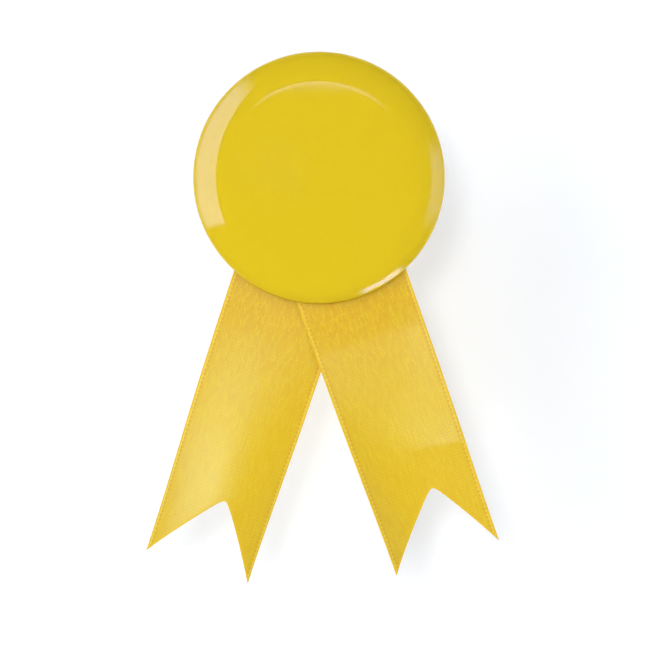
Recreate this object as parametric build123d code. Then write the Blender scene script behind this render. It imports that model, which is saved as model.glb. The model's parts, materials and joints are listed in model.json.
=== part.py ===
from build123d import *

import os
from math import asin, cos, degrees, radians, sin, tan

# Award ribbon: a round pin-back button badge with a folded satin ribbon hanging behind it.
# The badge is upright, as it is worn. X runs to the right as seen from the front, Y from the front to the
# back, and Z up. The origin is on the axis of the pin's needle, halfway along the pin's bar.
# All lengths are in millimetres and all angles in degrees.

# Button badge
BADGE_DIAMETER = 56.0  # over the rolled rim
FILM_THICKNESS = 0.10
PAPER_THICKNESS = 0.15
SHELL_THICKNESS = 0.25
LAYER_GAP = 0.01  # air between film, paper and shell
FACE_EDGE_SLOPE = 4.0  # slope of the crowned face where the shoulder starts
SHOULDER_RADIUS = 14.0
SHOULDER_EDGE_SLOPE = 25.0
BEVEL_RADIUS = 7.8
BEVEL_EDGE_SLOPE = 45.0
RIM_ROLL_RADIUS = 1.2
HEM_WIDTH = 1.3  # flat part of the skin turned under the rim
HEM_CURL_RADIUS = 0.8
HEM_EDGE = 0.2  # straight end of the hem, inside the badge

# Back plate
PLATE_THICKNESS = 0.3
PLATE_PROUD = 0.3  # how far the plate's flat stands behind the rim
PLATE_BEND_RADIUS = 0.35  # to the middle of the sheet
PLATE_WALL_CLEARANCE = 0.05  # between the hem and the start of the flange's bend
PLATE_FLANGE_WIDTH = 1.4
GROOVE_INSET = 2.6  # from the plate's wall to the middle of its stiffening groove
GROOVE_RADIUS = 0.8
GROOVE_BEND = 38.0

# Brooch pin
PIN_ABOVE_CENTRE = 6.0  # needle's height over the badge's centre
PAD_THICKNESS = 0.8
PAD_INSET = 0.3  # margin of the bar round its adhesive pad
BAR_LENGTH = 34.0
BAR_WIDTH = 5.0
BAR_THICKNESS = 0.6
BAR_HOLE_RADIUS = 1.1
BAR_HOLE_PITCH = 7.5
NEEDLE_HEIGHT = 2.2  # needle's axis over the bar
NEEDLE_RADIUS = 0.4
NEEDLE_TIP_RADIUS = 0.06
NEEDLE_TAPER = 4.5
NEEDLE_PAST_CATCH = 0.3
HINGE_INSET = 2.5  # hinge's axis from the end of the bar
RIVET_RADIUS = 0.5
RIVET_HEAD_RADIUS = 0.9
RIVET_HEAD_THICKNESS = 0.35
RIVET_HEAD_FILLET = 0.28
RIVET_SEAT_CLEARANCE = 0.02
HINGE_CLEARANCE = 0.03  # rivet in the needle's barrel
BARREL_RADIUS = 1.15
BARREL_LENGTH = 2.8
BARREL_SIDE_CLEARANCE = 0.05
EAR_THICKNESS = 0.5
EAR_RADIUS = 1.5
HEEL_REACH = 2.3  # stop lug, from the hinge's axis
HEEL_ANGLE = 142.0
HEEL_WIDTH = 1.0
CATCH_INSET = 3.6  # middle of the catch from the end of the bar
CATCH_RADIUS = 1.7
CATCH_THICKNESS = 1.6
CATCH_SLOT = 1.1
CATCH_CLEARANCE = 0.05
CATCH_END_PLAY = 0.1
CATCH_TAB_REACH = 3.3
CATCH_TAB_WIDTH = 0.8
CATCH_TAB_ANGLE = 62.0  # from the slot
CATCH_TURN = 78.0  # from unlocked to locked
CATCH_TAB_CLEARANCE = 0.15  # to the mouth's edges at both ends of the turn
HOUSING_WALL = 0.45
HOUSING_LIP = 0.45  # how far the housing's ends reach over the catch
HOUSING_END_THICKNESS = 0.4
PEDESTAL_WIDTH = 2.4
PEDESTAL_SINK = 0.3

# Ribbon: one strip folded once, so that its two tails hang apart
RIBBON_WIDTH = 25.4
RIBBON_THICKNESS = 0.3
FOLD_BELOW_CENTRE = 3.8  # fold line under the badge's centre
FOLD_GAP = 0.3  # between the two layers
LEFT_ANGLE = 18.2  # left tail from the vertical
RIGHT_ANGLE = 19.5
LEFT_LENGTH = 87.2  # from the fold to the tips, along the tail
RIGHT_LENGTH = 85.4
LEFT_NOTCH_DEPTH = 16.0
RIGHT_NOTCH_DEPTH = 15.5
LEFT_NOTCH_OFFSET = 1.4  # notch's apex from the tail's middle, to the right
RIGHT_NOTCH_OFFSET = 2.0
NOTCH_RADIUS = 1.1
FLEX_BELOW_CROTCH = 4.0  # flex line from where the two tails part
FLEX_GAP = 0.15  # between a tail's round nose and the fixed layer
TAPE_THICKNESS = 0.15
TAPE_WIDTH = 17.0
TAPE_HEIGHT = 12.0
TAPE_BELOW_FOLD = 3.0
GLUE_RADIUS = 4.5
GLUE_BELOW_FOLD = 9.0

# Places along Y, from the needle's axis towards the front
BAR_BACK_Y = -NEEDLE_HEIGHT
BAR_FRONT_Y = BAR_BACK_Y - BAR_THICKNESS
PLATE_BACK_Y = BAR_FRONT_Y - PAD_THICKNESS
RIM_BACK_Y = PLATE_BACK_Y - PLATE_PROUD
FRONT_LAYER_Y = PLATE_BACK_Y + TAPE_THICKNESS  # front face of the ribbon's front layer
REAR_LAYER_Y = FRONT_LAYER_Y + RIBBON_THICKNESS + FOLD_GAP
CENTRE_Z = -PIN_ABOVE_CENTRE
FOLD_Z = CENTRE_Z - FOLD_BELOW_CENTRE

# Places along X, on the pin
HINGE_X = -BAR_LENGTH / 2 + HINGE_INSET
CATCH_X = BAR_LENGTH / 2 - CATCH_INSET
HOUSING_LENGTH = CATCH_THICKNESS + 2 * (CATCH_END_PLAY + HOUSING_END_THICKNESS)
HOUSING_RADIUS = CATCH_RADIUS + CATCH_CLEARANCE
NEEDLE_TIP_X = CATCH_X + HOUSING_LENGTH / 2 + NEEDLE_PAST_CATCH

# The housing's mouth, as angles from +Z towards +Y: it lets the slot face backwards and the tab turn
TAB_HALF_ANGLE = degrees(asin((CATCH_TAB_WIDTH / 2 + CATCH_TAB_CLEARANCE) / HOUSING_RADIUS))
MOUTH_END = 90 + CATCH_TAB_ANGLE + TAB_HALF_ANGLE
MOUTH_START = 90 + CATCH_TAB_ANGLE - CATCH_TURN - TAB_HALF_ANGLE

# Ribbon angles: the fold line is the mirror between the two tails
HALF_ANGLE = (LEFT_ANGLE + RIGHT_ANGLE) / 2
FOLD_TILT = (RIGHT_ANGLE - LEFT_ANGLE) / 2
CROTCH = RIBBON_WIDTH / 2 / tan(radians(HALF_ANGLE))  # along a tail, from the fold
FLEX = CROTCH + FLEX_BELOW_CROTCH

SKIN_THICKNESS = FILM_THICKNESS + PAPER_THICKNESS + SHELL_THICKNESS + 2 * LAYER_GAP
RIM_REACH = (
    SHOULDER_RADIUS * (sin(radians(SHOULDER_EDGE_SLOPE)) - sin(radians(FACE_EDGE_SLOPE)))
    + BEVEL_RADIUS * (sin(radians(BEVEL_EDGE_SLOPE)) - sin(radians(SHOULDER_EDGE_SLOPE)))
    + RIM_ROLL_RADIUS * (1 - sin(radians(BEVEL_EDGE_SLOPE)))
)
FACE_RADIUS = (BADGE_DIAMETER / 2 - RIM_REACH) / sin(radians(FACE_EDGE_SLOPE))
HEM_INNER_RADIUS = BADGE_DIAMETER / 2 - RIM_ROLL_RADIUS - HEM_WIDTH - HEM_CURL_RADIUS
HEM_EDGE_HEIGHT = HEM_CURL_RADIUS + HEM_EDGE

# The badge's outer section, from the middle of the face outwards and round under the rim.
# A step is a straight's length, or an arc's radius and its turn to the right.
SKIN_PATH = [
    (FACE_RADIUS, FACE_EDGE_SLOPE),
    (SHOULDER_RADIUS, SHOULDER_EDGE_SLOPE - FACE_EDGE_SLOPE),
    (BEVEL_RADIUS, BEVEL_EDGE_SLOPE - SHOULDER_EDGE_SLOPE),
    (RIM_ROLL_RADIUS, 180 - BEVEL_EDGE_SLOPE),
    (HEM_WIDTH,),
    (HEM_CURL_RADIUS, 90),
    (HEM_EDGE,),
]


def right_of(heading):
    """Unit vector to the right of a heading in a section's plane."""
    return Vector(sin(radians(heading)), -cos(radians(heading)))


def path_end(start, heading, path):
    """Where a path ends."""
    here = start
    for step in path:
        if len(step) == 1:
            here += Vector(cos(radians(heading)), sin(radians(heading))) * step[0]
        else:
            radius, turn = step
            centre = here + right_of(heading) * radius
            heading -= turn
            here = centre - right_of(heading) * radius
    return here


def traced(start, heading, path, shift):
    """Edges of a path of straights and arcs, moved sideways to its right by shift."""
    here, edges = start, []
    for step in path:
        first = here + right_of(heading) * shift
        if len(step) == 1:
            here += Vector(cos(radians(heading)), sin(radians(heading))) * step[0]
            edges.append(Line(first, here + right_of(heading) * shift))
            continue
        radius, turn = step
        centre = here + right_of(heading) * radius
        middle = centre - right_of(heading - turn / 2) * (radius - shift)
        heading -= turn
        here = centre - right_of(heading) * radius
        edges.append(ThreePointArc(first, middle, here + right_of(heading) * shift))
    return edges


def turned_sheet(start, path, outer, inner):
    """Solid of revolution of a bent sheet, which lies from outer to inner at the right of its path."""
    one_side = traced(start, 0, path, outer)
    other_side = traced(start, 0, path, inner)
    ends = [
        Line(one_side[0] @ 0, other_side[0] @ 0),
        Line(one_side[-1] @ 1, other_side[-1] @ 1),
    ]
    return revolve(make_face([*one_side, *other_side, *ends]), Axis.Y)


def on_badge(solid):
    """Puts a solid turned about Y, with its front along +Y and the rim's back at 0, in the badge's place."""
    return Pos(0, RIM_BACK_Y, CENTRE_Z) * Rot(0, 0, 180) * solid


def badge_skin(outer, thickness):
    """A layer of the badge's skin, from outer under its surface."""
    thick = path_end(Vector(0, 0), 0, SKIN_PATH[:4]).Y
    return on_badge(turned_sheet(Vector(0, -thick), SKIN_PATH, outer, outer + thickness))


def back_plate():
    """Pressed tinplate disc with a stiffening groove, whose flange is held over the hem."""
    wall_radius = HEM_INNER_RADIUS - PLATE_WALL_CLEARANCE - PLATE_BEND_RADIUS
    groove_half = 2 * GROOVE_RADIUS * sin(radians(GROOVE_BEND))
    rise = HEM_EDGE_HEIGHT + PLATE_PROUD
    path = [
        (wall_radius - GROOVE_INSET - groove_half,),
        (-GROOVE_RADIUS, -GROOVE_BEND),
        (GROOVE_RADIUS, 2 * GROOVE_BEND),
        (-GROOVE_RADIUS, -GROOVE_BEND),
        (GROOVE_INSET - groove_half - PLATE_BEND_RADIUS,),
        (-PLATE_BEND_RADIUS, -90),
        (rise - 2 * PLATE_BEND_RADIUS,),
        (PLATE_BEND_RADIUS, 90),
        (PLATE_FLANGE_WIDTH,),
    ]
    start = Vector(0, -PLATE_PROUD + PLATE_THICKNESS / 2)
    return on_badge(turned_sheet(start, path, -PLATE_THICKNESS / 2, PLATE_THICKNESS / 2))


def pin_pad():
    """Foam adhesive pad between the bar and the back plate."""
    size = (BAR_LENGTH - 2 * PAD_INSET, BAR_WIDTH - 2 * PAD_INSET)
    outline = RectangleRounded(*size, size[1] / 2 - PAD_INSET)
    return extrude(Plane.XZ.offset(-BAR_FRONT_Y) * outline, PAD_THICKNESS)


def hinge_ears():
    """The two ears that carry the rivet."""
    height = EAR_RADIUS + NEEDLE_HEIGHT + BAR_THICKNESS / 2
    outline = Circle(EAR_RADIUS) + Pos(0, (EAR_RADIUS - height) / 2) * Rectangle(
        2 * EAR_RADIUS, height - EAR_RADIUS
    )
    outline -= Circle(RIVET_RADIUS + RIVET_SEAT_CLEARANCE)
    ear = extrude(outline, EAR_THICKNESS)
    inside = BARREL_LENGTH / 2 + BARREL_SIDE_CLEARANCE
    return Pos(HINGE_X, 0, inside) * ear + Pos(HINGE_X, 0, -inside - EAR_THICKNESS) * ear


def catch_housing():
    """C-shaped housing round the catch, open to the back so that the needle can leave."""
    half, lip_radius = HOUSING_LENGTH / 2, HOUSING_RADIUS - HOUSING_LIP
    outer = HOUSING_RADIUS + HOUSING_WALL
    inner_half = half - HOUSING_END_THICKNESS
    section = make_face(
        Polyline(
            (-half, lip_radius),
            (-half, outer),
            (half, outer),
            (half, lip_radius),
            (inner_half, lip_radius),
            (inner_half, HOUSING_RADIUS),
            (-inner_half, HOUSING_RADIUS),
            (-inner_half, lip_radius),
            close=True,
        )
    )
    # The section stands at +Y and turns from there through +Z: angles from +Z towards +Y run backwards.
    ring = revolve(section, Axis.X, 360 - (MOUTH_END - MOUTH_START))
    ring = Rot(90 - MOUTH_START, 0, 0) * ring
    pedestal_height = NEEDLE_HEIGHT + PEDESTAL_SINK - HOUSING_RADIUS - HOUSING_WALL / 2
    pedestal = Pos(0, -NEEDLE_HEIGHT - PEDESTAL_SINK + pedestal_height / 2, 0) * Box(
        HOUSING_LENGTH, pedestal_height, PEDESTAL_WIDTH
    )
    return Pos(CATCH_X, 0, 0) * (ring + pedestal)


def pin_bar():
    """Stamped bar with its hinge ears and catch housing."""
    outline = RectangleRounded(BAR_LENGTH, BAR_WIDTH, BAR_WIDTH / 2 - PAD_INSET)
    outline -= [Pos(n * BAR_HOLE_PITCH, 0) * Circle(BAR_HOLE_RADIUS) for n in (-1, 0, 1)]
    bar = extrude(Plane.XZ.offset(-BAR_BACK_Y) * outline, BAR_THICKNESS)
    return bar + hinge_ears() + catch_housing()


def hinge_rivet():
    """Rivet through the ears, with a domed head at each end."""
    half = BARREL_LENGTH / 2 + BARREL_SIDE_CLEARANCE + EAR_THICKNESS
    shank = Cylinder(RIVET_RADIUS, 2 * half)
    head = Cylinder(RIVET_HEAD_RADIUS, RIVET_HEAD_THICKNESS, align=(Align.CENTER, Align.CENTER, Align.MIN))
    head = fillet(head.edges().group_by(Axis.Z)[-1], RIVET_HEAD_FILLET)
    return Pos(HINGE_X, 0, 0) * (shank + Pos(0, 0, half) * head + Pos(0, 0, -half) * Rot(180, 0, 0) * head)


def pin_needle():
    """Needle with its hinge barrel and the heel that stops it when it is fully open."""
    barrel = Cylinder(BARREL_RADIUS, BARREL_LENGTH)
    heel_length = HEEL_REACH - HEEL_WIDTH / 2
    heel = Rot(0, 0, HEEL_ANGLE) * (
        Pos(heel_length / 2, 0, 0) * Box(heel_length, HEEL_WIDTH, BARREL_LENGTH / 2)
        + Pos(heel_length, 0, 0) * Cylinder(HEEL_WIDTH / 2, BARREL_LENGTH / 2)
    )
    shank_length = NEEDLE_TIP_X - NEEDLE_TAPER - HINGE_X
    along = Rot(0, 90, 0)
    shank = Pos(shank_length / 2, 0, 0) * along * Cylinder(NEEDLE_RADIUS, shank_length)
    point = Pos(shank_length + NEEDLE_TAPER / 2, 0, 0) * along * Cone(
        NEEDLE_RADIUS, NEEDLE_TIP_RADIUS, NEEDLE_TAPER
    )
    bore = Cylinder(RIVET_RADIUS + HINGE_CLEARANCE, 2 * BARREL_LENGTH)
    return Pos(HINGE_X, 0, 0) * (barrel + heel + shank + point - bore)


def safety_catch():
    """Catch wheel with a slot for the needle and a tab for the finger, shown unlocked."""
    wheel = Circle(CATCH_RADIUS)
    tab_reach = CATCH_TAB_REACH - CATCH_TAB_WIDTH / 2
    tab = Pos(tab_reach / 2, 0) * Rectangle(tab_reach, CATCH_TAB_WIDTH) + Pos(tab_reach, 0) * Circle(
        CATCH_TAB_WIDTH / 2
    )
    wheel += Rot(0, 0, CATCH_TAB_ANGLE) * tab
    wheel -= Circle(CATCH_SLOT / 2) + Pos(CATCH_TAB_REACH / 2, 0) * Rectangle(CATCH_TAB_REACH, CATCH_SLOT)
    across = Plane(origin=(CATCH_X, 0, 0), x_dir=(0, 1, 0), z_dir=(-1, 0, 0))
    return extrude(across * wheel, CATCH_THICKNESS / 2, both=True)


def ribbon_plane(y):
    """The ribbon's plane at a depth, with its origin on the fold line and its normal to the front."""
    tilt = radians(FOLD_TILT)
    return Plane(origin=(0, y, FOLD_Z), x_dir=(cos(tilt), 0, sin(tilt)), z_dir=(0, -1, 0))


def head_layer(side):
    """Outline of one layer from the fold to its flex line: side is -1 at the left and 1 at the right."""
    half, lean = RIBBON_WIDTH / 2, radians(HALF_ANGLE)
    fold_half = half / cos(lean)
    end = RIBBON_THICKNESS / 2 + FLEX_GAP - FLEX
    corners = [(Rot(0, 0, side * HALF_ANGLE) * Pos(x, end)).position for x in (half, -half)]
    points = [(-fold_half, 0), (fold_half, 0)] + [(c.X, c.Y) for c in corners]
    return make_face(Polyline(*points, close=True))


def ribbon_head():
    """The ribbon's folded middle: the left tail's layer behind, the right tail's in front, and the fold."""
    front = extrude(ribbon_plane(FRONT_LAYER_Y + RIBBON_THICKNESS) * head_layer(1), RIBBON_THICKNESS)
    rear = extrude(ribbon_plane(REAR_LAYER_Y + RIBBON_THICKNESS) * head_layer(-1), RIBBON_THICKNESS)
    inner = FOLD_GAP / 2
    ring = Circle(inner + RIBBON_THICKNESS) - Circle(inner)
    ring -= Pos(0, -inner - RIBBON_THICKNESS) * Rectangle(
        2 * (inner + RIBBON_THICKNESS), 2 * (inner + RIBBON_THICKNESS)
    )
    fold_half = RIBBON_WIDTH / 2 / cos(radians(HALF_ANGLE))
    across = Rot(0, 90, 0) * ring
    middle_y = FRONT_LAYER_Y + RIBBON_THICKNESS + inner
    fold = ribbon_plane(middle_y) * extrude(across, fold_half, both=True)
    return front + rear + fold


def tail(side, layer_y, length, notch_depth, notch_offset):
    """A tail below its flex line, with a swallowtail cut and a round nose at the flex line."""
    half, reach = RIBBON_WIDTH / 2, length - FLEX
    outline = make_face(
        Polyline(
            (-half, 0),
            (half, 0),
            (half, -reach),
            (notch_offset, notch_depth - reach),
            (-half, -reach),
            close=True,
        )
    )
    apex = outline.vertices().sort_by_distance((notch_offset, notch_depth - reach))[0]
    outline = fillet(apex, NOTCH_RADIUS)
    sheet = extrude(outline, RIBBON_THICKNESS / 2, both=True)
    nose = Rot(0, 90, 0) * Cylinder(RIBBON_THICKNESS / 2, RIBBON_WIDTH)
    placed = Rot(0, 0, side * HALF_ANGLE) * Pos(0, -FLEX) * (sheet + nose)
    return ribbon_plane(layer_y + RIBBON_THICKNESS / 2) * placed


def ribbon_tape():
    """Double-sided tape between the back plate and the ribbon's front layer."""
    lean = tan(radians(HALF_ANGLE)) * (TAPE_BELOW_FOLD + TAPE_HEIGHT / 2)
    patch = Pos(lean, -TAPE_BELOW_FOLD - TAPE_HEIGHT / 2) * Rectangle(TAPE_WIDTH, TAPE_HEIGHT)
    return extrude(ribbon_plane(FRONT_LAYER_Y) * patch, TAPE_THICKNESS)


def fold_glue():
    """Spot of hot glue that holds the two layers together."""
    spot = Pos(0, -GLUE_BELOW_FOLD) * Circle(GLUE_RADIUS)
    return extrude(ribbon_plane(REAR_LAYER_Y) * spot, FOLD_GAP)


PARTS = {
    "clear_film": badge_skin(0, FILM_THICKNESS),
    "artwork_disc": badge_skin(FILM_THICKNESS + LAYER_GAP, PAPER_THICKNESS),
    "front_shell": badge_skin(SKIN_THICKNESS - SHELL_THICKNESS, SHELL_THICKNESS),
    "back_plate": back_plate(),
    "pin_pad": pin_pad(),
    "pin_bar": pin_bar(),
    "hinge_rivet": hinge_rivet(),
    "pin_needle": pin_needle(),
    "safety_catch": safety_catch(),
    "ribbon_tape": ribbon_tape(),
    "ribbon_head": ribbon_head(),
    "fold_glue": fold_glue(),
    "left_tail": tail(-1, REAR_LAYER_Y, LEFT_LENGTH, LEFT_NOTCH_DEPTH, LEFT_NOTCH_OFFSET),
    "right_tail": tail(1, FRONT_LAYER_Y, RIGHT_LENGTH, RIGHT_NOTCH_DEPTH, RIGHT_NOTCH_OFFSET),
}

os.makedirs("parts", exist_ok=True)
for name, shape in PARTS.items():
    export_step(shape, f"parts/{name}.step")
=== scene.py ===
import json
from math import ceil, cos, pi, radians, sin

import bpy
import numpy as np
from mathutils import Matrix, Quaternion, Vector


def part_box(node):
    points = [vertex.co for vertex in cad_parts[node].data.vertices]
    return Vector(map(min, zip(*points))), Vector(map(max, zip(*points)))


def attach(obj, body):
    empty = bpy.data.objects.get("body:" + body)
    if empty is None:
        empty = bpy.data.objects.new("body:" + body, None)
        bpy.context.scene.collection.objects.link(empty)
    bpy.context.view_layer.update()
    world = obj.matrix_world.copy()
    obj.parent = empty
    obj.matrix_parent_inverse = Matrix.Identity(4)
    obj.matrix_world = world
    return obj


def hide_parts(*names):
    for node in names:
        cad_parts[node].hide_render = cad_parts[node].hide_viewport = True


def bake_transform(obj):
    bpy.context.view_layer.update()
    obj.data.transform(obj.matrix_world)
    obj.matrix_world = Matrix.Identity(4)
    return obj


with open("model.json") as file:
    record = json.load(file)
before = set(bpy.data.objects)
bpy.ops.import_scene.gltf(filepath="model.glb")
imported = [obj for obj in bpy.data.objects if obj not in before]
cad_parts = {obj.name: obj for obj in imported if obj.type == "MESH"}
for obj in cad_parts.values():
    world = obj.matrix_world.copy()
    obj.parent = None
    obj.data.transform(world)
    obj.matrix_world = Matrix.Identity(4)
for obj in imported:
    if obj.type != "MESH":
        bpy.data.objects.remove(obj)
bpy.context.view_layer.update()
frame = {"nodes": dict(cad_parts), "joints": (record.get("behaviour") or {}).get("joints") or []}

# The award ribbon is upright: its front faces -Y and its tails hang down. Metres, unless a name says MM.
MM = 0.001

# Camera, square on to the front
VIEW_WIDTH = 0.1467  # width seen at the ribbon
VIEW_CENTRE = (0.00244, -0.0398)  # X and Z
CAMERA_DISTANCE = 0.75
SENSOR = 36.0

# Badge's skin, in millimetres and degrees
FILM_THICKNESS, PAPER_THICKNESS, LAYER_GAP = 0.10, 0.15, 0.01
FACE_SLOPE, SHOULDER_SLOPE, BEVEL_SLOPE = 4, 25, 45  # where each of them ends
SHOULDER_RADIUS, BEVEL_RADIUS, ROLL_RADIUS = 14.0, 7.8, 1.2
HEM_WIDTH, HEM_CURL_RADIUS, HEM_EDGE = 1.3, 0.8, 0.2
PLEATS, PLEAT_HEIGHT, PLEAT_SHARPNESS = 46, 0.07, 3  # of film and paper turned under the rim
PLEAT_WANDER = ((3, 1.4), (7, 0.9))  # waves round the rim, and how far each moves the pleats in radians
SECTION_STEP, ARC_STEP, BADGE_SEGMENTS = 0.3, 9, 390
ROLL_NUMBER, HEM_NUMBER = 3, 4  # their places in skin_path

# Ribbon, in millimetres
RIBBON_WIDTH = 25.4
RIBBON_THICKNESS = 0.24
FOLD_RADIUS = 0.3
FOLD_STEPS = 6
ROWS = 400
SELVEDGE_PITCH = 1.0  # of the weft loops along the selvedge
WEFT_PITCH = 0.66
SELVEDGE_STEPS = (0, 0.1, 0.2, 0.32, 0.45, 0.58, 0.7, 0.82, 0.95, 1.1, 1.3, 1.6, 2.0)
COLUMN_STEP = 0.6
APEX_HALF_WIDTH, APEX_STEP = 1.5, 0.2
UV_SCALE = 100.0  # millimetres per unit of the ribbon's UV map
NEARLY_FLAT = 1e-9  # keeps the curl from being 0, which it is divided by

# How far the tails stand forward at their sags, lifts and crease, in millimetres
LEFT_SAG, LEFT_LIFT, LEFT_WAVE = -0.6, 1.5, 0.12
RIGHT_SAG, RIGHT_RIPPLE, RIGHT_FALL = -1.0, 0.018, -2.1
CREASE_HEIGHT, CREASE_AT, CREASE_SLANT = 0.75, 60.8, 0.11
CREASE_WIDTH, CREASE_ROUNDING = 4.5, 0.25


def smooth(x, start, end):
    """0 before start, 1 after end, and a smooth step between them."""
    t = np.clip((x - start) / (end - start), 0, 1)
    return t * t * (3 - 2 * t)


def bump(x, middle, width):
    return np.exp(-(((x - middle) / width) ** 2))


# ---------------------------------------------------------------- places from the frame

badge_low, badge_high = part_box("clear_film")
BADGE = (badge_low + badge_high) / 2
JOINTS = {j["name"]: j for j in frame["joints"]}


def flex_line(name):
    """Middle of a tail's flex line, its direction to +X, and the direction down the tail."""
    joint = JOINTS[name]
    across = Vector(joint["axis"])
    return Vector(joint["pos_m"]), across, Vector((across.z, 0, -across.x))


def fold_middle():
    """Where the middles of the two tails meet, on the fold."""
    left, _, left_down = flex_line("left_tail_flex")
    right, _, right_down = flex_line("right_tail_flex")
    rows = np.array([[left_down.x, -right_down.x], [left_down.z, -right_down.z]])
    reach = np.linalg.solve(rows, [right.x - left.x, right.z - left.z])
    return left + left_down * reach[0]


FOLD = fold_middle()
FOLD_DOWN = (flex_line("left_tail_flex")[2] + flex_line("right_tail_flex")[2]).normalized()

# ---------------------------------------------------------------- badge's film and print


def skin_path():
    """The skin's section from the middle of the face: a straight's length, or an arc's radius and turn."""
    reach = SHOULDER_RADIUS * (sin(radians(SHOULDER_SLOPE)) - sin(radians(FACE_SLOPE)))
    reach += BEVEL_RADIUS * (sin(radians(BEVEL_SLOPE)) - sin(radians(SHOULDER_SLOPE)))
    reach += ROLL_RADIUS * (1 - sin(radians(BEVEL_SLOPE)))
    badge_radius = (badge_high.x - badge_low.x) / 2 / MM
    face_radius = (badge_radius - reach) / sin(radians(FACE_SLOPE))
    return [
        (face_radius, FACE_SLOPE),
        (SHOULDER_RADIUS, SHOULDER_SLOPE - FACE_SLOPE),
        (BEVEL_RADIUS, BEVEL_SLOPE - SHOULDER_SLOPE),
        (ROLL_RADIUS, 180 - BEVEL_SLOPE),
        (HEM_WIDTH,),
        (HEM_CURL_RADIUS, 90),
        (HEM_EDGE,),
    ]


def skin_section(depth):
    """Places outwards and forwards along the section, that deep in the skin, and how pleated each is."""
    path = skin_path()
    out, up, slope, places = 0.0, 0.0, 0.0, []
    for number, step in enumerate(path):
        straight = len(step) == 1
        last = number == len(path) - 1
        length = step[0] if straight else step[0] * radians(step[1])
        pieces = max(ceil(length / SECTION_STEP), 1 if straight else ceil(step[1] / ARC_STEP))
        for i in range(pieces + last):
            share = i / pieces
            if straight:
                here = (out + cos(slope) * length * share, up - sin(slope) * length * share)
                turned = slope
            else:
                turned = slope + radians(step[1]) * share
                here = (
                    out + step[0] * (sin(turned) - sin(slope)),
                    up + step[0] * (cos(turned) - cos(slope)),
                )
            pleated = {ROLL_NUMBER: max(0.0, 2 * share - 1), HEM_NUMBER: 1.0}.get(number, 0.0)
            places.append((here[0] - depth * sin(turned), here[1] - depth * cos(turned), pleated))
        if straight:
            out, up = out + cos(slope) * length, up - sin(slope) * length
        else:
            end = slope + radians(step[1])
            out, up = out + step[0] * (sin(end) - sin(slope)), up + step[0] * (cos(end) - cos(slope))
            slope = end
    return np.array(places)


def skin_layer(name, outer, thickness, material):
    """One layer of the badge's skin as a closed turned sheet, pleated where it is turned under the rim."""
    section = np.concatenate([skin_section(outer), skin_section(outer + thickness)[::-1]])
    turn = np.linspace(0, 2 * pi, BADGE_SEGMENTS, endpoint=False)
    wander = sum(shift * np.sin(waves * turn) for waves, shift in PLEAT_WANDER)
    ridges = (0.5 + 0.5 * np.cos(PLEATS * turn + wander)) ** PLEAT_SHARPNESS
    out, up, pleated = section[1:-1, :1], section[1:-1, 1:2], section[1:-1, 2:]
    back = -up + PLEAT_HEIGHT * pleated * ridges
    points = np.stack([out * np.sin(turn), back, out * np.cos(turn)], axis=2).reshape(-1, 3)
    poles = np.array([[0, -section[0, 1], 0], [0, -section[-1, 1], 0]])
    index = np.arange(len(points)).reshape(len(out), BADGE_SEGMENTS)
    after = np.roll(index, -1, axis=1)
    quads = np.stack([index[:-1], after[:-1], after[1:], index[1:]], axis=2).reshape(-1, 4)
    front, rear = len(points), len(points) + 1
    caps = [(front, b, a) for a, b in zip(index[0].tolist(), after[0].tolist())]
    caps += [(rear, a, b) for a, b in zip(index[-1].tolist(), after[-1].tolist())]
    co = np.concatenate([points, poles]) * MM + np.array([BADGE.x, badge_low.y, BADGE.z])
    mesh = bpy.data.meshes.new(name)
    mesh.from_pydata(co.tolist(), [], quads.tolist() + caps)
    mesh.polygons.foreach_set("use_smooth", [True] * len(mesh.polygons))
    mesh.materials.append(material)
    layer = bpy.data.objects.new(name, mesh)
    bpy.context.scene.collection.objects.link(layer)
    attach(layer, "root")
    return layer


# ---------------------------------------------------------------- ribbon


def left_shape(across, along, length):
    """How far the left tail stands forward, in millimetres, apart from its curl."""
    sag = LEFT_SAG * smooth(along, 20, 36)
    lift = LEFT_LIFT * smooth(along, 46, 86)
    wave = LEFT_WAVE * np.sin((along - 38) / 5.5) * smooth(along, 38, 52)
    return sag + lift + wave


def right_shape(across, along, length):
    """How far the right tail stands forward, in millimetres, apart from its curl."""
    sag = RIGHT_SAG * smooth(along, 21, 35)
    phase = along * 3.3 + across * 0.10 + 1.2 * np.sin(across / 5)
    ripples = RIGHT_RIPPLE * np.sin(phase) * bump(along, 28, 4.5)
    from_crease = along - (CREASE_AT + CREASE_SLANT * across)
    rounded = np.sqrt(from_crease**2 + CREASE_ROUNDING**2)
    ridge = CREASE_HEIGHT * np.exp(-rounded / CREASE_WIDTH) * smooth(across, -5, 9)
    fall = RIGHT_FALL * smooth(along, 56, length) * (1 - 1.3 * smooth(across, -1, 9))
    return sag + ripples + ridge + fall


TAILS = {
    "left": {
        "joint": "left_tail_flex", "body": "left_tail", "fold_side": 1, "length": 87.2,
        "notch": 16.0, "apex": 1.4, "curl": -1 / 20.5, "shape": left_shape,
    },
    "right": {
        "joint": "right_tail_flex", "body": "right_tail", "fold_side": -1, "length": 85.4,
        "notch": 15.5, "apex": 2.0, "curl": 1 / 22.0, "shape": right_shape,
    },
}
CURL_START, CURL_END = 22, 84
APEX_ROUNDING = 0.8


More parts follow.
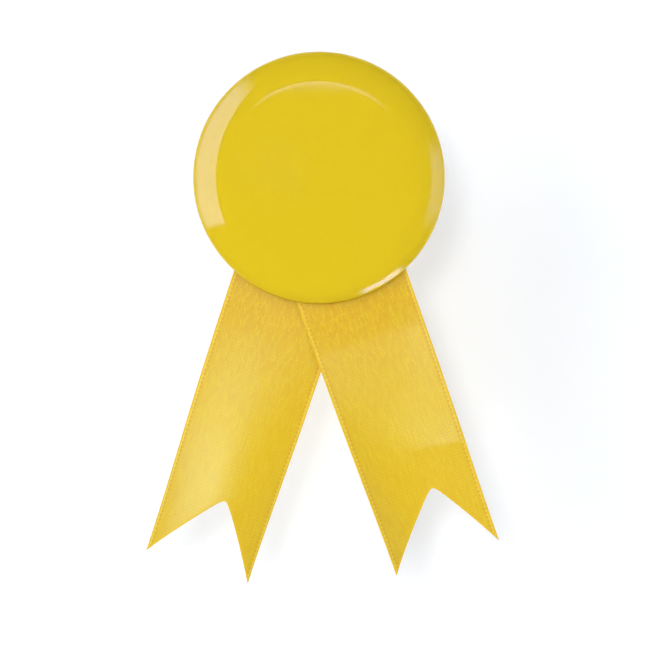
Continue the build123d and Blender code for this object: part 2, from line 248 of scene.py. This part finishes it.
def ribbon_columns(apex):
    """Places across the ribbon: close together at the selvedges and at the notch's apex."""
    half = RIBBON_WIDTH / 2
    edge = [half - s for s in SELVEDGE_STEPS]
    inner = edge[-1]
    count = int(2 * inner / COLUMN_STEP)
    middle = [-inner + 2 * inner * i / count for i in range(1, count)]
    middle = [u for u in middle if abs(u - apex) > APEX_HALF_WIDTH]
    apex_count = int(2 * APEX_HALF_WIDTH / APEX_STEP)
    tip = [apex - APEX_HALF_WIDTH + APEX_STEP * i for i in range(apex_count + 1)]
    return np.array(sorted([-u for u in edge] + middle + tip + edge))


def cut_line(across, tail):
    """How far down the tail the swallowtail cut is."""
    offset = across - tail["apex"]
    reach = np.where(offset < 0, RIBBON_WIDTH / 2 + tail["apex"], RIBBON_WIDTH / 2 - tail["apex"])
    rounded = np.sqrt(offset**2 + APEX_ROUNDING**2) - APEX_ROUNDING
    full = np.sqrt(reach**2 + APEX_ROUNDING**2) - APEX_ROUNDING
    return tail["length"] - tail["notch"] * (1 - rounded / full)


def ribbon_grid(tail):
    """Middle surface of half the ribbon, and each point's places across and along and its way to the cut."""
    middle, across_way, down = flex_line(tail["joint"])
    columns = ribbon_columns(tail["apex"])
    start = -columns * across_way.dot(FOLD_DOWN) / down.dot(FOLD_DOWN)
    end = cut_line(columns, tail)
    share = np.linspace(0, 1, ROWS)[:, None]
    along = start + share * (end - start)
    across = np.broadcast_to(columns, along.shape)
    bend = tail["curl"] * smooth(along, CURL_START, CURL_END) + NEARLY_FLAT
    sideways = np.sin(bend * across) / bend
    forward = tail["shape"](across, along, tail["length"]) + (1 - np.cos(bend * across)) / bend
    points = np.empty(along.shape + (3,))
    for k in range(3):
        points[..., k] = FOLD[k] + MM * (sideways * across_way[k] + along * down[k])
    points[..., 1] = middle.y - MM * forward
    slope = np.gradient(end, columns)
    to_cut = (end - along) / np.sqrt(1 + slope**2)
    return points, across, along, to_cut


def fold_rows(points, tail):
    """Rows that turn from the first row up to the crest of the fold."""
    turns = [pi / 2 * (1 - i / FOLD_STEPS) for i in range(FOLD_STEPS)]
    up = np.array(-FOLD_DOWN)
    rows = []
    for turn in turns:
        row = points[0].copy()
        row += up * FOLD_RADIUS * MM * np.sin(turn)
        row[:, 1] -= tail["fold_side"] * FOLD_RADIUS * MM * (1 - np.cos(turn))
        rows.append(row)
    return np.array(rows)


def surface_normals(points):
    """Normals of a grid, towards the front of a hanging tail."""
    down = np.gradient(points, axis=0)
    across = np.gradient(points, axis=1)
    normals = np.cross(down, across)
    return normals / np.linalg.norm(normals, axis=2)[..., None]


def half_thickness(across, along):
    """Half the ribbon's thickness in millimetres: rounded selvedge, groove and row of weft loops."""
    edge = RIBBON_WIDTH / 2 - np.abs(across)
    plain = RIBBON_THICKNESS / 2 * (0.45 + 0.55 * smooth(edge, 0, 0.15))
    bead = 0.05 * bump(edge, 0.28, 0.14)
    groove = -0.035 * bump(edge, 0.58, 0.1)
    loops = np.clip(np.sin(2 * pi * along / SELVEDGE_PITCH), 0, 1) ** 0.7
    return plain + bead + groove + 0.045 * loops * bump(edge, 0.82, 0.16)


def grid_faces(rows, columns):
    """Faces of a closed sheet made of a front grid and a back grid."""
    index = np.arange(2 * rows * columns).reshape(2, rows, columns)
    front, back = index
    faces = []
    for grid, flip in ((front, True), (back, False)):
        corners = [grid[:-1, :-1], grid[:-1, 1:], grid[1:, 1:], grid[1:, :-1]]
        quads = np.stack([c.ravel() for c in (corners[::-1] if flip else corners)], axis=1)
        faces.append(quads)
    rims = [
        (back[0], front[0]), (front[-1], back[-1]),
        (front[:, 0], back[:, 0]), (back[:, -1], front[:, -1]),
    ]
    for one, other in rims:
        faces.append(np.stack([one[:-1], other[:-1], other[1:], one[1:]], axis=1))
    return np.concatenate(faces)


def make_ribbon(name, tail):
    """Half the ribbon, from the crest of the fold to the swallowtail cut, as one closed sheet."""
    points, across, along, to_cut = ribbon_grid(tail)
    points = np.concatenate([fold_rows(points, tail), points])
    across = np.concatenate([across[:1]] * FOLD_STEPS + [across])
    back_along = along[:1] - FOLD_RADIUS * np.linspace(pi / 2, 0, FOLD_STEPS + 1)[:-1, None]
    along = np.concatenate([back_along, along])
    to_cut = np.concatenate([to_cut[:1]] * FOLD_STEPS + [to_cut])
    offset = surface_normals(points) * (half_thickness(across, along) * MM)[..., None]
    rows, columns = across.shape
    co = np.concatenate([(points + offset).reshape(-1, 3), (points - offset).reshape(-1, 3)])
    mesh = bpy.data.meshes.new(name)
    mesh.from_pydata(co.tolist(), [], grid_faces(rows, columns).tolist())
    uv = np.stack([across.ravel(), along.ravel()], axis=1) / UV_SCALE
    uv = np.concatenate([uv, uv])
    layer = mesh.uv_layers.new(name="weave")
    loops = np.empty(len(mesh.loops), np.int32)
    mesh.loops.foreach_get("vertex_index", loops)
    layer.data.foreach_set("uv", uv[loops].astype(np.float32).ravel())
    cut = mesh.attributes.new("to_cut", "FLOAT", "POINT")
    cut.data.foreach_set("value", np.concatenate([to_cut.ravel()] * 2).astype(np.float32))
    mesh.polygons.foreach_set("use_smooth", [True] * len(mesh.polygons))
    mesh.update()
    ribbon = bpy.data.objects.new(name, mesh)
    bpy.context.scene.collection.objects.link(ribbon)
    return ribbon


# ---------------------------------------------------------------- material helpers


class Nodes:
    """Short ways to build one material's nodes."""

    def __init__(self, name):
        self.material = bpy.data.materials.new(name)
        self.material.use_nodes = True
        self.tree = self.material.node_tree
        self.shader = self.tree.nodes["Principled BSDF"]

    def add(self, kind, links=(), **values):
        """A node with its properties set, and its inputs to numbers, colours or other nodes' outputs."""
        node = self.tree.nodes.new("ShaderNode" + kind)
        for key, value in values.items():
            setattr(node, key, value)
        for key, value in dict(links).items():
            self.put(node.inputs[key], value)
        return node

    def put(self, socket, value):
        if isinstance(value, bpy.types.NodeSocket):
            self.tree.links.new(value, socket)
        else:
            socket.default_value = value

    def set(self, **inputs):
        """Sets the shader's inputs, with _ for a space."""
        for key, value in inputs.items():
            self.put(self.shader.inputs[key.replace("_", " ")], value)

    def maths(self, operation, a, b=0.0, c=0.0):
        return self.add("Math", {0: a, 1: b, 2: c}, operation=operation).outputs[0]

    def place(self, scale=(1, 1, 1), kind="Object"):
        coordinates = self.add("TexCoord").outputs[kind]
        return self.add("Mapping", {"Vector": coordinates, "Scale": scale}).outputs[0]

    def noise(self, vector, scale, detail=4.0, roughness=0.5):
        links = {"Vector": vector, "Scale": scale, "Detail": detail, "Roughness": roughness}
        return self.add("TexNoise", links).outputs["Fac"]

    def ramp(self, value, low, high, to_low=0.0, to_high=1.0):
        links = {"Value": value, "From Min": low, "From Max": high, "To Min": to_low, "To Max": to_high}
        return self.add("MapRange", links).outputs[0]

    def mix(self, share, a, b):
        node = self.add("Mix", data_type="RGBA")
        self.put(node.inputs[0], share)
        self.put(node.inputs[6], a)
        self.put(node.inputs[7], b)
        return node.outputs[2]

    def relief(self, height, distance, strength=1.0, under=None):
        links = {"Height": height, "Distance": distance, "Strength": strength}
        if under is not None:
            links["Normal"] = under
        return self.add("Bump", links).outputs[0]


def printed_paper():
    """Yellow print, as glossy as the film over it makes it look."""
    n = Nodes("printed_paper")
    spots = n.noise(n.place(), 900, 3)
    colour = n.mix(n.ramp(spots, 0.35, 0.65), (0.750, 0.535, 0.003, 1), (0.770, 0.550, 0.005, 1))
    waves = n.relief(n.noise(n.place(), 120, 2), 0.00002, 0.3)
    n.set(Base_Color=colour, Roughness=0.6, Specular_IOR_Level=0.0, Coat_Normal=waves)
    n.set(Coat_Weight=1.0, Coat_IOR=1.64, Coat_Roughness=0.04)
    return n.material


def clear_film():
    n = Nodes("clear_film")
    hazy = n.ramp(n.noise(n.place(), 300, 3), 0.3, 0.7, 0.05, 0.12)
    n.set(Base_Color=(0.80, 0.62, 0.05, 1), Roughness=hazy, Alpha=0.03, IOR=1.64)
    return n.material


def tinplate():
    """Rolled sheet: faint lines along one way, and a little haze."""
    n = Nodes("tinplate")
    lines = n.noise(n.place((40, 1, 1200)), 3, 5, 0.6)
    haze = n.noise(n.place(), 90, 5)
    colour = n.mix(n.ramp(haze, 0.3, 0.7), (0.56, 0.55, 0.53, 1), (0.70, 0.69, 0.67, 1))
    n.set(Base_Color=colour, Metallic=1.0, Roughness=n.ramp(haze, 0.3, 0.7, 0.22, 0.38))
    n.set(Normal=n.relief(lines, 0.00002, 0.6))
    return n.material


def nickel_plate():
    n = Nodes("nickel_plate")
    marks = n.noise(n.place((1500, 200, 200)), 1.5, 6, 0.7)
    patches = n.noise(n.place(), 500, 4)
    colour = n.mix(n.ramp(patches, 0.35, 0.7), (0.60, 0.57, 0.52, 1), (0.74, 0.72, 0.67, 1))
    n.set(Base_Color=colour, Metallic=1.0, Roughness=n.ramp(marks, 0.3, 0.7, 0.16, 0.32))
    n.set(Normal=n.relief(marks, 0.00001, 0.5))
    return n.material


def needle_steel():
    n = Nodes("needle_steel")
    drawn = n.noise(n.place((60, 3000, 3000)), 1, 4)
    colour = n.mix(n.ramp(drawn, 0.3, 0.7), (0.58, 0.58, 0.59, 1), (0.72, 0.72, 0.73, 1))
    n.set(Base_Color=colour, Metallic=1.0, Roughness=n.ramp(drawn, 0.3, 0.7, 0.12, 0.24))
    n.set(Normal=n.relief(drawn, 0.000008, 0.5))
    return n.material


def foam():
    n = Nodes("foam_pad")
    cells = n.add("TexVoronoi", {"Vector": n.place(), "Scale": 3500.0}).outputs["Distance"]
    colour = n.mix(n.ramp(cells, 0.1, 0.6), (0.80, 0.79, 0.75, 1), (0.60, 0.59, 0.55, 1))
    n.set(Base_Color=colour, Roughness=0.85, Normal=n.relief(cells, 0.00008, 0.8))
    return n.material


def clear_tape():
    n = Nodes("clear_tape")
    fibres = n.noise(n.place((1, 1, 6)), 900, 4)
    colour = n.mix(fibres, (0.80, 0.76, 0.62, 1), (0.88, 0.86, 0.78, 1))
    n.set(Base_Color=colour, Roughness=0.55, Normal=n.relief(fibres, 0.00002, 0.5))
    return n.material


def hot_glue():
    n = Nodes("hot_glue")
    bubbles = n.noise(n.place(), 700, 3)
    colour = n.mix(bubbles, (0.78, 0.70, 0.46, 1), (0.90, 0.86, 0.68, 1))
    n.set(Base_Color=colour, Roughness=0.35, Subsurface_Weight=0.2, Normal=n.relief(bubbles, 0.00004, 0.4))
    return n.material


def satin():
    """Golden satin: floats of warp, fainter weft, and a cord and a row of loops at each selvedge."""
    n = Nodes("satin_ribbon")
    uv = n.add("UVMap", uv_map="weave").outputs[0]
    at = n.add("Mapping", {"Vector": uv, "Scale": (UV_SCALE,) * 3}).outputs[0]
    parts = n.add("SeparateXYZ", {0: at})
    across, along = parts.outputs[0], parts.outputs[1]
    wander = n.maths("MULTIPLY_ADD", n.noise(at, 0.55, 2), 0.9, -0.45)

    turned = n.add("CombineXYZ", {0: along, 1: n.maths("ADD", across, wander)}).outputs[0]
    floats = n.add(
        "TexBrick",
        {"Vector": turned, "Color1": (1, 1, 1, 1), "Color2": (0.2, 0.2, 0.2, 1), "Mortar": (0, 0, 0, 1),
         "Scale": 1.0, "Mortar Size": 0.09, "Mortar Smooth": 1.0, "Brick Width": 1.5, "Row Height": 0.46},
        offset=0.37, offset_frequency=2,
    )
    weave = floats.outputs["Color"]
    warp = n.noise(n.add("Mapping", {"Vector": at, "Scale": (2.1, 0.25, 1)}).outputs[0], 1.0, 3, 0.6)
    weft = n.maths("SINE", n.maths("MULTIPLY", n.maths("ADD", along, wander), 2 * pi / WEFT_PITCH))
    weft = n.maths("MULTIPLY", weft, n.ramp(n.noise(at, 0.25, 2), 0.3, 0.7, 0.3, 1.0))
    blotch = n.noise(at, 0.12, 2)
    # 1 just below the badge, fading to 0.35 further down the tails: scales the weave's relief and the
    # painted shade under the badge
    weave_and_shade_near_badge = n.ramp(along, 28, 55, 1.0, 0.35)

    edge = n.maths("SUBTRACT", RIBBON_WIDTH / 2, n.maths("ABSOLUTE", across))
    beat = n.maths("SINE", n.maths("MULTIPLY", along, 2 * pi / SELVEDGE_PITCH))
    band = n.maths("MULTIPLY", n.ramp(edge, 0.5, 0.62), n.ramp(edge, 1.25, 1.05))
    dashes = n.maths("MULTIPLY", n.ramp(beat, 0.3, -0.3), band)
    line = n.maths("MULTIPLY", n.ramp(edge, 0.42, 0.5), n.ramp(edge, 0.75, 0.62))
    cord = n.ramp(edge, 0.52, 0.38)
    cut = n.ramp(n.add("Attribute", attribute_name="to_cut").outputs["Fac"], 0.5, 0.15)

    base, pale, bright = (0.770, 0.515, 0.003, 1), (0.815, 0.590, 0.014, 1), (0.90, 0.70, 0.13, 1)
    deep, golden = (0.71, 0.375, 0.001, 1), (0.84, 0.535, 0.001, 1)
    colour = n.mix(n.ramp(warp, 0.35, 0.65, 0.0, 0.85), base, pale)
    colour = n.mix(n.ramp(blotch, 0.35, 0.7, 0.0, 0.3), colour, pale)
    colour = n.mix(n.ramp(weft, 0.2, -1.0, 0.0, 0.35), colour, deep)
    gaps = n.ramp(weave, 1.0, 0.0)
    # The weave's gaps in the deep colour, darkest near the badge: the gaps are real weave, and the extra
    # darkening near the badge is painted shade from the badge's rim
    colour = n.mix(n.maths("MULTIPLY", gaps, weave_and_shade_near_badge), colour, deep)
    colour = n.mix(n.maths("MULTIPLY", line, 0.8), colour, bright)
    colour = n.mix(n.maths("MULTIPLY", dashes, 0.65), colour, deep)
    colour = n.mix(n.maths("MULTIPLY", cord, 0.9), colour, golden)
    colour = n.mix(n.maths("MULTIPLY", cut, 0.9), colour, golden)

    fine = n.relief(n.maths("MULTIPLY", weave, weave_and_shade_near_badge), 0.00005, 0.7)
    threads = n.relief(n.maths("MULTIPLY_ADD", weft, 0.12, warp), 0.00006, 0.6, fine)
    matt = n.maths("MAXIMUM", n.maths("MAXIMUM", dashes, cord), cut)
    gloss = n.ramp(warp, 0.3, 0.7, 0.28, 0.38)
    n.set(Base_Color=colour, Roughness=n.maths("MULTIPLY_ADD", matt, 0.35, gloss), Normal=threads)
    n.set(Specular_IOR_Level=0.5, Sheen_Weight=0.03, Sheen_Roughness=0.4)
    n.set(Sheen_Tint=(1.0, 0.85, 0.4, 1))
    return n.material


def wear(material, *nodes):
    """Gives CAD nodes a material."""
    for name in nodes:
        slots = frame["nodes"][name].data.materials
        slots.clear()
        slots.append(material)


wear(tinplate(), "front_shell", "back_plate")
wear(foam(), "pin_pad")
wear(nickel_plate(), "pin_bar", "hinge_rivet", "safety_catch")
wear(needle_steel(), "pin_needle")
wear(clear_tape(), "ribbon_tape")
wear(hot_glue(), "fold_glue")

# ---------------------------------------------------------------- the badge's film and print

badge_film = skin_layer("badge_film", 0.0, FILM_THICKNESS, clear_film())
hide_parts("clear_film")
badge_print = skin_layer("badge_print", FILM_THICKNESS + LAYER_GAP, PAPER_THICKNESS, printed_paper())
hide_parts("artwork_disc")

# ---------------------------------------------------------------- the ribbon's two halves

SATIN = satin()
RIBBONS = bpy.data.collections.new("ribbons")
for side, tail in TAILS.items():
    ribbon = make_ribbon(f"{side}_ribbon", tail)
    ribbon.data.materials.append(SATIN)
    RIBBONS.objects.link(ribbon)
    nodes = [tail["body"]] + (["ribbon_head"] if side == "right" else [])
    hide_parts(*nodes)
    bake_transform(ribbon)

HARD = bpy.data.collections.new("hard_parts")
for piece in [badge_film, badge_print] + list(frame["nodes"].values()):
    HARD.objects.link(piece)

# ---------------------------------------------------------------- stage, lights and camera


def stage_plane(name, corners, material):
    mesh = bpy.data.meshes.new(name)
    mesh.from_pydata(corners, [], [(0, 1, 2, 3)])
    plane = bpy.data.objects.new(name, mesh)
    plane.data.materials.append(material)
    bpy.context.scene.collection.objects.link(plane)
    return plane


def pale_paper():
    n = Nodes("stage_paper")
    n.set(Base_Color=(0.90, 0.90, 0.90, 1), Roughness=0.9, Specular_IOR_Level=0.1)
    seen = n.add("LightPath").outputs["Is Camera Ray"]
    n.set(Emission_Color=(1, 1, 1, 1), Emission_Strength=n.maths("MULTIPLY", seen, FLOOR_GLOW))
    return n.material


def one_sided_paper():
    """Paper that shows from its front only, so that the badge's back can be looked at."""
    n = Nodes("stage_backdrop")
    n.set(Base_Color=(0.88, 0.90, 0.93, 1), Roughness=0.9, Specular_IOR_Level=0.1)
    path = n.add("LightPath")
    glow = n.maths("MULTIPLY", path.outputs["Is Camera Ray"], GLOW)
    n.set(Emission_Color=(1, 1, 1, 1), Emission_Strength=glow)
    clear = n.add("BsdfTransparent").outputs[0]
    behind = n.add("NewGeometry").outputs["Backfacing"]
    shadow = path.outputs["Is Shadow Ray"]
    gone = n.maths("MAXIMUM", behind, shadow)
    mix = n.add("MixShader", {0: gone, 1: n.shader.outputs[0], 2: clear})
    n.put(n.tree.nodes["Material Output"].inputs["Surface"], mix.outputs[0])
    return n.material


FLOOR_Z = -0.42
GLOW, FLOOR_GLOW = 0.16, 0.45  # keep the backdrop white and the floor pale in the picture
BACKDROP_Y = 0.048  # behind the tails, which reach 42.5 mm back when bent, and the open needle
S = 4.0  # how far the stage reaches
floor = stage_plane(
    "floor",
    [(-S, -S, FLOOR_Z), (S, -S, FLOOR_Z), (S, S, FLOOR_Z), (-S, S, FLOOR_Z)],
    pale_paper(),
)
floor.visible_glossy = False
stage_plane(
    "backdrop",
    [(-S, BACKDROP_Y, FLOOR_Z), (S, BACKDROP_Y, FLOOR_Z), (S, BACKDROP_Y, S), (-S, BACKDROP_Y, S)],
    one_sided_paper(),
)

# Shares of a panel's size that fade at its left, right, low and high borders
EVEN, SOFT, ROUND = (0.1,) * 4, (0.3,) * 4, (0.25,) * 4
LEAST_FADE = 0.001
WHITE, COOL, PALE_COOL = (1.0, 1.0, 1.0), (0.50, 0.54, 1.0), (0.60, 0.62, 0.95)


def soft_border(light, fade):
    """Fades an area light towards its left, right, low and high borders, over those shares of its size."""
    light.use_nodes = True
    tree = light.node_tree
    place = tree.nodes.new("ShaderNodeNewGeometry")
    parts = tree.nodes.new("ShaderNodeSeparateXYZ")
    tree.links.new(place.outputs["Parametric"], parts.inputs[0])
    strength = tree.nodes["Emission"].inputs["Strength"]
    for border, share in enumerate(fade):
        rise = tree.nodes.new("ShaderNodeMapRange")
        rise.interpolation_type = "SMOOTHSTEP"
        rise.inputs["From Min"].default_value = border % 2
        rise.inputs["From Max"].default_value = abs(border % 2 - max(share, LEAST_FADE))
        tree.links.new(parts.outputs[border // 2], rise.inputs["Value"])
        product = tree.nodes.new("ShaderNodeMath")
        product.operation = "MULTIPLY"
        tree.links.new(rise.outputs[0], product.inputs[0])
        product.inputs[1].default_value = 1.0
        tree.links.new(product.outputs[0], strength)
        strength = product.inputs[1]


def panel(name, middle, facing, size, radiance, fade=EVEN, lights="all", roll=0, colour=WHITE, only=None):
    """A panel of that radiance, placed from the middle of the badge, which lights gloss, diffuse or all."""
    width, height = size
    light = bpy.data.lights.new(name, "AREA")
    light.shape = "RECTANGLE"
    light.size, light.size_y = width, height
    light.energy = radiance * pi * width * height
    light.color = colour
    soft_border(light, fade)
    lamp = bpy.data.objects.new(name, light)
    lamp.location = BADGE + Vector(middle)
    lamp.rotation_mode = "QUATERNION"
    turned = Quaternion((0, 0, 1), radians(roll))
    lamp.rotation_quaternion = Vector(facing).to_track_quat("-Z", "Y") @ turned
    lamp.visible_camera = False
    lamp.visible_diffuse = lights != "gloss"
    lamp.visible_glossy = lights != "diffuse"
    if only is not None:
        lamp.light_linking.receiver_collection = only
    bpy.context.scene.collection.objects.link(lamp)


# The badge's reflections, which light only the gloss of the hard parts
panel(
    "left_wall", (-0.45, -0.385, 0.275), (1, 0, 0), (0.81, 0.95), 3.6,
    fade=(0.15, 0.05, 0.04, 0.35), lights="gloss", colour=COOL, only=HARD,
)
panel(
    "top_strip", (0.0, -0.74, 0.212), (0, 1, -0.33), (0.37, 0.10), 2.2,
    fade=SOFT, lights="gloss", colour=COOL, only=HARD,
)
panel(
    "right_wall", (0.50, -0.23, -0.01), (-1, 0, 0), (0.54, 0.46), 1.7,
    fade=(0.2, 0.2, 0.3, 0.3), lights="gloss", colour=COOL, only=HARD,
)
panel(
    "low_right", (0.24, -0.045, -0.38), (-0.53, 0, 0.848), (0.22, 0.27), 7.5,
    fade=ROUND, lights="gloss", roll=90, colour=PALE_COOL, only=HARD,
)

# Diffuse light on everything; the small key panel casts the clearest shadow on the backdrop
panel("key", (-0.16, -1.6, 0.12), (0.16, 1.6, -0.12), (0.24, 0.24), 40.0, lights="diffuse")
panel("front_soft", (0.0, -1.5, 0.9), (0, 1, -0.6), (1.2, 1.0), 1.3, lights="diffuse")
panel("left_soft", (-0.8, -0.8, 0.25), (0.7, 0.7, -0.2), (0.7, 0.9), 3.4, lights="diffuse")
panel("right_soft", (0.9, -0.7, 0.1), (-0.8, 0.6, -0.1), (0.6, 0.8), 2.4, lights="diffuse")
panel("low_soft", (0.1, -1.0, -0.9), (-0.1, 1.0, 0.85), (0.8, 0.4), 5.5, lights="diffuse")

# The satin's sheen
panel(
    "satin_glow", (-0.60, -1.04, 0.20), (0.60, 1.04, -0.20), (1.8, 0.24), 16.0,
    fade=(0.85, 0.08, 0.3, 0.3), lights="gloss", colour=(0.55, 0.95, 1.0), only=RIBBONS,
)

# Light on the back
panel("rear_soft", (-0.5, 1.0, 0.5), (0.4, -0.9, -0.45), (0.9, 0.9), 2.2)
panel("rear_side", (0.8, 0.5, 0.1), (-0.8, -0.5, 0), (0.4, 1.0), 2.0)

SKY_COLOUR, SKY_STRENGTH = (0.84, 0.95, 1.15, 1), 0.16
SEEN_COLOUR = (0.94, 0.94, 0.94, 1)  # of the world where the camera sees it
world = bpy.data.worlds.new("studio")
world.use_nodes = True
bpy.context.scene.world = world
sky = world.node_tree.nodes["Background"]
seen = world.node_tree.nodes.new("ShaderNodeBackground")
seen.inputs["Color"].default_value = SEEN_COLOUR
sky.inputs["Color"].default_value = SKY_COLOUR
sky.inputs["Strength"].default_value = SKY_STRENGTH
path = world.node_tree.nodes.new("ShaderNodeLightPath")
both = world.node_tree.nodes.new("ShaderNodeMixShader")
world.node_tree.links.new(path.outputs["Is Camera Ray"], both.inputs[0])
world.node_tree.links.new(sky.outputs[0], both.inputs[1])
world.node_tree.links.new(seen.outputs[0], both.inputs[2])
world.node_tree.links.new(both.outputs[0], world.node_tree.nodes["World Output"].inputs["Surface"])
bpy.context.scene.view_settings.view_transform = "Standard"

camera = bpy.data.objects.new("camera", bpy.data.cameras.new("camera"))
camera.data.sensor_width = SENSOR
camera.data.lens = SENSOR * CAMERA_DISTANCE / VIEW_WIDTH
camera.location = (VIEW_CENTRE[0], FOLD.y - CAMERA_DISTANCE, VIEW_CENTRE[1])
camera.rotation_euler = (radians(90), 0, 0)
camera.data.clip_start = 0.01
bpy.context.scene.collection.objects.link(camera)
bpy.context.scene.camera = camera
